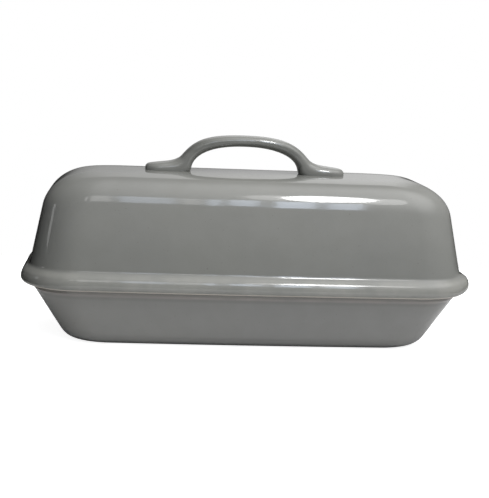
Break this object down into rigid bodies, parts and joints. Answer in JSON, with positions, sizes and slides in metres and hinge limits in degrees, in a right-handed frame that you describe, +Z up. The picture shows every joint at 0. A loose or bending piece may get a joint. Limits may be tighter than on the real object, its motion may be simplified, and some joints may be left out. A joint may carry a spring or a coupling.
{
  "type": "covered bread baker",
  "caption": "Long glazed stoneware bread baker: a sloped loaf dish under a tall domed lid with a fat rolled bead and a strap handle on flat feet",
  "frame": {"origin": "middle of the dish's flat underside, on the surface that the baker stands on", "axes": "+X along the baker's length, +Y across its width towards the far long side, +Z up"},
  "size_m": [0.375, 0.1666, 0.1718],
  "materials": {
    "dish_glaze": "warm grey gloss glaze, bare fired clay on the underside and the rim",
    "lid_glaze": "warm grey gloss glaze, a little paler on the bead, bare fired clay on the seat",
    "handle_glaze": "warm grey gloss glaze"
  },
  "bodies": {
    "base": {"base_dish": "dish_glaze"},
    "lid": {"lid_shell": "lid_glaze", "lid_handle": "handle_glaze"}
  },
  "joints": [
    {"name": "lid_lift", "type": "slide", "parent": "base", "child": "lid", "axis": [0, 0, 1], "range_m": [0, 0.12]}
  ]
}
